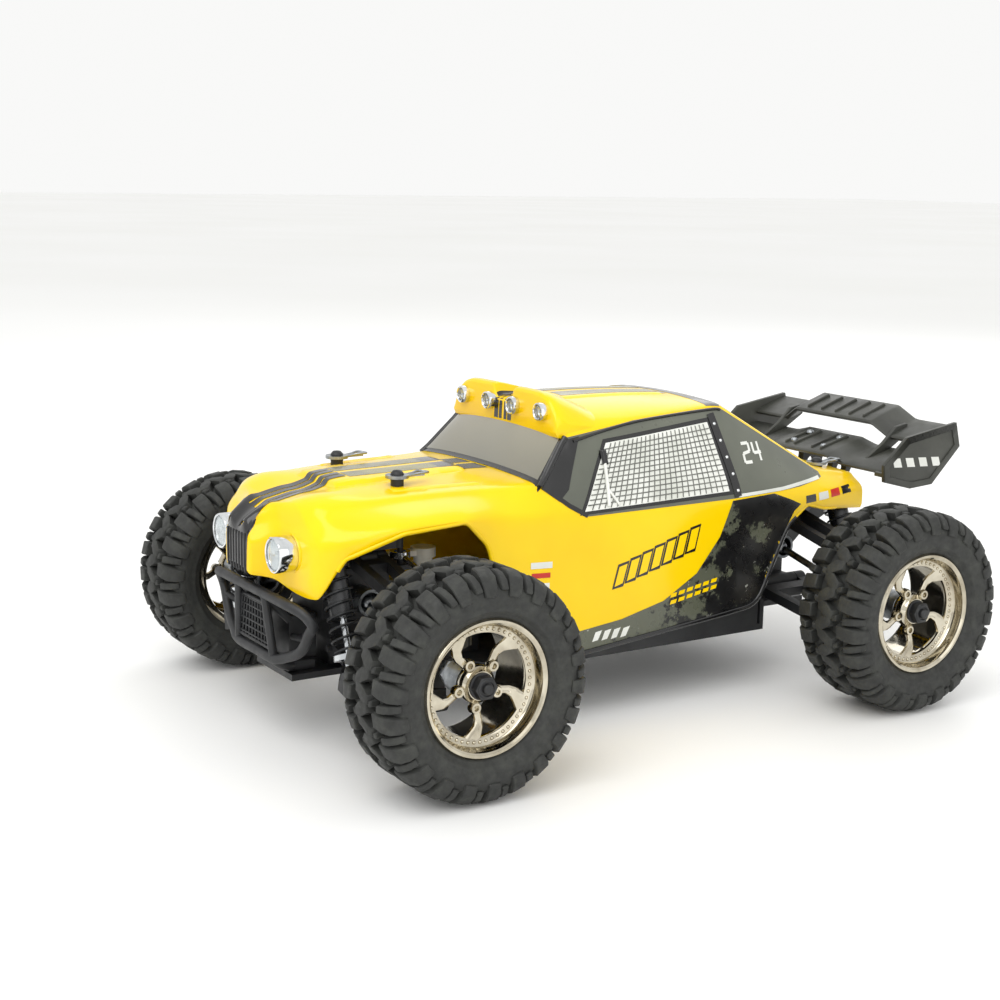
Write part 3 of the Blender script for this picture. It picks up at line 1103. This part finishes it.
# Block whose profile (axial, radial) is carried across its width, narrower at its top
def treadBlock(profile, widths, skew=0.0):
    n = len(profile)
    centre = (sum(p[0] for p in profile) / n, sum(p[1] for p in profile) / n)
    verts, faces = [], []
    for sign in (-1, 1):
        for (a, r), w in zip(profile, widths):
            verts.append((sign * w / 2 + skew * (a - centre[0]), a, r))
    faces.append(list(range(n))[::-1])
    faces.append(list(range(n, 2 * n)))
    faces += [[i, (i + 1) % n, n + (i + 1) % n, n + i] for i in range(n)]
    return verts, faces


longBlock = treadBlock([(8.2, 45.0), (8.8, 49.8), (14.2, 49.6), (18.6, 48.0), (21.2, 44.4), (21.95, 41.4),
                        (21.7, 39.6),
                        (19.8, 39.4), (17.6, 43.4)], [7.8, 6.4, 7.0, 7.2, 6.8, 5.8, 5.0, 5.8, 7.8], 0.12)
shortBlock = treadBlock([(11.8, 45.0), (12.4, 49.6), (16.2, 48.9), (19.4, 46.6), (21.3, 43.6), (21.5, 42.4),
                         (19.6, 42.2), (16.8, 44)], [4.2, 3.2, 3.4, 3.6, 3.4, 3.0, 3.8, 4.4], -0.12)
centreBlock = treadBlock([(-6.2, 45.3), (-5.4, 49.8), (0.2, 49.8), (4.4, 49.8), (5.2, 45.3)],
                         [6.8, 4.8, 5.8, 3.6, 5.2], 0.42)
linkBlock = treadBlock([(4.6, 45.4), (5.0, 49.2), (8.2, 49.4), (8.8, 45.4)], [3.6, 2.6, 2.6, 3.6], -0.3)

# Rim: spokes and their first turn, the ring of rivets, and the ring of bolts round the hub
rim = {"spokes": 5, "spokeTurn": 0.35, "rivets": 52, "rivetAt": 24.2, "rivetOut": 11.55,
       "bossAt": 9.9, "bossTurn": 0.05}
barrel = [(26.0, -16.6), (27.4, -17), (29.7, -17), (30.0, -16.2), (29.6, -15.2), (28.0, -14.6), (27.2, -12),
          (26.8, 0), (27.2, 11), (27.8, 14), (29.5, 14.7), (30.0, 15.8), (29.9, 17.0), (29.1, 17.9),
          (28.0, 18.0), (27.1, 17.3), (26.7, 15.8), (26.4, 13.4), (25.7, 12.2), (24.9, 11.7),
          (23.3, 11.6), (22.5, 11.2), (22.2, 10.2),
          (22.5, 8.4), (24.6, 7.6), (25.3, 5), (25.3, -14.8)]
hub = [(2.6, 4), (7.2, 4), (8.0, 5.2), (8.3, 8.4), (7.9, 9.8), (6.9, 10.6), (6.2, 12.0), (4.6, 12.2),
       (2.6, 12.2)]
rivetTree = ringTree("rivetRing", champagnePlating)
rivetDome = [(0.01, 0.75), (0.5, 0.66), (0.8, 0.35), (0.88, -0.2), (0.01, -0.2)]


# Curved spoke with a raised ridge along each edge
def spokePart(angle, side):
    stations = [(6.2, 4.7, 8.6, 0.0), (8.8, 4.5, 9.4, 0.5), (11.8, 3.9, 9.5, 1.6), (14.8, 3.9, 9.8, 2.6),
                (17.6, 4.8, 10.4, 2.6), (20.2, 6.8, 11.0, 1.6), (23.2, 9.6, 11.4, 0.4)]
    section = [(-1, 0.1), (-0.86, 0.72), (-0.45, 1.0), (0, 0.82), (0.45, 1.0), (0.86, 0.72), (1, 0.1),
               (0.8, -0.5), (-0.8, -0.5)]
    verts = []
    c, s = math.cos(angle), math.sin(angle)
    for r, w, a, swing in stations:
        for u, v in section:
            t = u * w / 2 + swing * 1.3
            x, z = r * s + t * c, r * c - t * s
            verts.append((x, side * (a - 1.1 + v * 1.3), z))
    return verts, loftFaces(len(stations), len(section))


def hexPart(radius, low, high):
    outer = [(radius * math.cos(math.radians(60 * k)), radius * math.sin(math.radians(60 * k)))
             for k in range(6)]
    return plate(outer, "y", low, high)


for corner, end, side in corners:
    body, at = f"{corner}_wheel", (end * axleX, side * tyreY, axleZ)
    flat = turned(tyreProfile, "y", at, 96, side)
    mount(f"{corner}TyreCarcass", flat, tyreRubber, "tyre_rubber", body=body, smoothAngle=50,
          replaced=f"{corner}_tyre")
    step = 2 * math.pi / tyre["blocks"]
    rows = [("longOuter", longBlock, 1, 0.0), ("longInner", longBlock, -1, 0.5),
            ("shortOuter", shortBlock, 1, 0.5),
            ("shortInner", shortBlock, -1, 0.0), ("centreOuter", centreBlock, 1, 0.27),
            ("centreInner", centreBlock, -1, 0.77),
            ("linkOuter", linkBlock, 1, 0.5), ("linkInner", linkBlock, -1, 0.0)]
    treads = []
    for name, block, face, phase in rows:
        part = block if face > 0 else mirroredY(block)
        if name.startswith("centre"):
            part = shifted(part, (0, face * 1.0, 0))
        treads.append(ringOf(f"{corner}{name}", part, tyreRubber, treadTree, tyre["blocks"],
                             (phase + end * tyre["endTurn"]) * step, at,
                             bevelMm=tyre["edge"]))
    tread = mergeInto(*treads)
    tread.name = f"{corner}TreadBlocks"
    finishPiece(tread, body, "tyre_rubber")

    metal = [turned(barrel, "y", at, 96, side), turned(hub, "y", at, 48, side)]
    for k in range(rim["spokes"]):
        angle = 2 * math.pi * (k + rim["spokeTurn"]) / rim["spokes"]
        metal.append(shifted(spokePart(angle, side), at))
        spot = (at[0] + rim["bossAt"] * math.sin(angle + rim["bossTurn"]), at[1],
                at[2] + rim["bossAt"] * math.cos(angle + rim["bossTurn"]))
        boss = turned([(0.01, 9.0), (1.0, 9.0), (1.3, 10.9), (2.2, 10.9), (2.6, 10.2), (2.7, 8), (0.01, 8)],
                      "y",
                      spot, 20, side)
        metal.append(boss)
    mount(f"{corner}RimPlated", joined(*metal), champagnePlating, "champagne_chrome", body=body,
          smoothAngle=32, replaced=f"{corner}_rim")
    rivet = shifted(turned(rivetDome, "y", (0, 0, 0), 8, side), (0, side * rim["rivetOut"], rim["rivetAt"]))
    ring = ringOf(f"{corner}RimRivets", rivet, champagnePlating, rivetTree,
                  rim["rivets"], 0.0, at)
    finishPiece(ring, body, "champagne_chrome")
    nut = [shifted(hexPart(5.4, *sorted((side * 12.1, side * 16.6))), at),
           turned([(0.01, 12), (5.6, 12), (5.9, 12.3), (5.7, 12.9), (0.01, 12.9)], "y", at, 40, side),
           turned([(0.01, 18.6), (1.9, 18.6), (2.4, 18.0), (2.4, 11), (0.01, 11)], "y", at, 32, side),
           turned([(3.2, 16.6), (4.4, 16.6), (3.9, 17.1), (3.2, 17.1)], "y", at, 40, side)]
    mount(f"{corner}WheelNut", joined(*nut), glassFilledNylon, "black_nylon", body=body, bevelMm=0.3,
          segments=2)
    drive = [turned([(0.01, 4), (2.5, 4), (2.5, -24.6), (0.01, -24.6)], "y", at, 32, side),
             turned([(4.9, -36), (6.2, -36), (6.2, -24.2), (5.4, -23.5), (0.01, -23.5), (0.01, -24.7),
                     (4.9, -24.7)], "y", at, 40, side),
             shifted(hexPart(6.9, *sorted((side * -11.1, side * -6.1))), at),
             turned([(0.01, -6.2), (7.4, -6.2), (7.4, 4.2), (0.01, 4.2)], "y", at, 40, side)]
    mount(f"{corner}AxleAndHex", joined(*drive), zincPlatedSteel, "zinc_steel", body=body, bevelMm=0.25,
          segments=1)
print("wheels made")


# Shock springs: coil and wire radius, turns, and both ends measured down from the upper eye
spring = {"coil": 6.7, "wire": 0.62, "turns": 7, "top": -8.9, "foot": -45.4, "end": 0.7, "steps": 20}
for corner, end, side in corners:
    swing = Vector(jointAt[f"{corner}_shock_swing"]["pos_m"])
    up = Vector(jointAt[f"{corner}_shock_travel"]["axis"]).normalized()
    across = Vector((1, 0, 0))
    other = up.cross(across)
    points = []
    total = spring["turns"] * spring["steps"]
    for i in range(total + 1):
        a = 2 * math.pi * i / spring["steps"]
        low, high = spring["foot"] + spring["end"], spring["top"] - spring["end"]
        foreAft = across * spring["coil"] * math.cos(a)
        sideways = other * spring["coil"] * math.sin(a) * side
        points.append(swing * 1000 + up * (low + (high - low) * (i / total)) + foreAft + sideways)
    coil = tube(points, spring["wire"], 8)
    obj = makeObject(f"{corner}ShockSpring", ([Vector(v) / 1000 for v in coil[0]], coil[1]),
                     coatedSpringWire, 60, True)
    finishPiece(obj, f"{corner}_shock_body", "black_spring_steel", f"{corner}_spring")
    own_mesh(obj)
print("springs made")


# Finish of each material slot of the CAD nodes
finishOf = {"yellow_body_shell": paintedPolycarbonateYellow, "black_nylon": glassFilledNylon,
            "grey_wing_plastic": oliveGreyNylon,
            "chrome_lamp": silverPlating, "zinc_steel": zincPlatedSteel, "motor_can": drawnSteelCan,
            "brass": cutBrass,
            "battery_wrap": batteryWrap, "servo_case": absCase, "white_nylon": whiteNylon,
            "bright_aluminium": brightAluminium, "black_shock_plastic": shockPlastic,
            "black_spring_steel": coatedSpringWire, "champagne_chrome": champagnePlating,
            "tyre_rubber": tyreRubber}
for part in frame["record"]["subparts"]:
    for socket in frame["nodes"][part["node"]].material_slots:
        socket.material = finishOf[part["material_slot"]]
print("CAD nodes given their finishes")


# Floor, light and camera
studio = {"skyStrength": 0.98, "key": 11, "fill": 5, "rear": 6, "lens": 61.04, "sensor": 36,
          "floorReach": 14.0,
          "cameraAt": (0.49846, 0.69396, 0.25819), "roll": 1.018,
          "right": (-0.84183, 0.53974, 0), "up": (-0.10302, -0.16067, 0.98162),
          "ahead": (-0.529825, -0.826352, -0.190861)}
# Painted studio sweep: matt white, with a faint slow drift of tone.
sweep, tree, shader, where = startMaterial("paleSweep", {"Roughness": 0.55})
drift = between(tree, noiseOf(tree, where, 900, 2), 0.3, 0.7, 0, 1)
tree.links.new(mixed(tree, drift, "#fbfbfa", "#f7f7f5"), shader.inputs["Base Color"])
reach = studio["floorReach"]
floorPart = [(-reach, -reach, 0), (reach, -reach, 0), (reach, reach, 0), (-reach, reach, 0)], [[0, 1, 2, 3]]
floorObject = makeObject("floorSweep", floorPart, sweep, inMetres=True, recalc=False)


def softLight(name, spot, target, size, power):
    data = bpy.data.lights.new(name, "AREA")
    data.size = size
    data.energy = power
    obj = bpy.data.objects.new(name, data)
    obj.location = spot
    obj.rotation_euler = (Vector(target) - Vector(spot)).to_track_quat("-Z", "Y").to_euler()
    bpy.context.scene.collection.objects.link(obj)


softLight("keyLight", (0.9, 0.5, 1.3), (0, 0, 0.05), 1.2, studio["key"])
softLight("fillLight", (0.2, 1.7, 0.7), (0, 0, 0.06), 1.4, studio["fill"])
softLight("rearLight", (-1.2, -0.9, 1.2), (0, 0, 0.08), 1.4, studio["rear"])
world = bpy.data.worlds.new("studioSky")
world.use_nodes = True
world.node_tree.nodes["Background"].inputs["Color"].default_value = hexColour("#fbfbfa")
world.node_tree.nodes["Background"].inputs["Strength"].default_value = studio["skyStrength"]
bpy.context.scene.world = world
bpy.context.scene.view_settings.view_transform = "Standard"

camera = bpy.data.cameras.new("studioCamera")
camera.lens = studio["lens"]
camera.sensor_width = studio["sensor"]
camera.clip_start = 0.01
cameraObject = bpy.data.objects.new("studioCamera", camera)
right, upward, ahead = (Vector(studio[key]) for key in ("right", "up", "ahead"))
c, s = math.cos(math.radians(studio["roll"])), math.sin(math.radians(studio["roll"]))
right, upward = right * c + upward * s, upward * c - right * s
turn = Matrix((right, upward, -ahead)).transposed().to_4x4()
cameraObject.matrix_world = Matrix.Translation(studio["cameraAt"]) @ turn
bpy.context.scene.collection.objects.link(cameraObject)
bpy.context.scene.camera = cameraObject
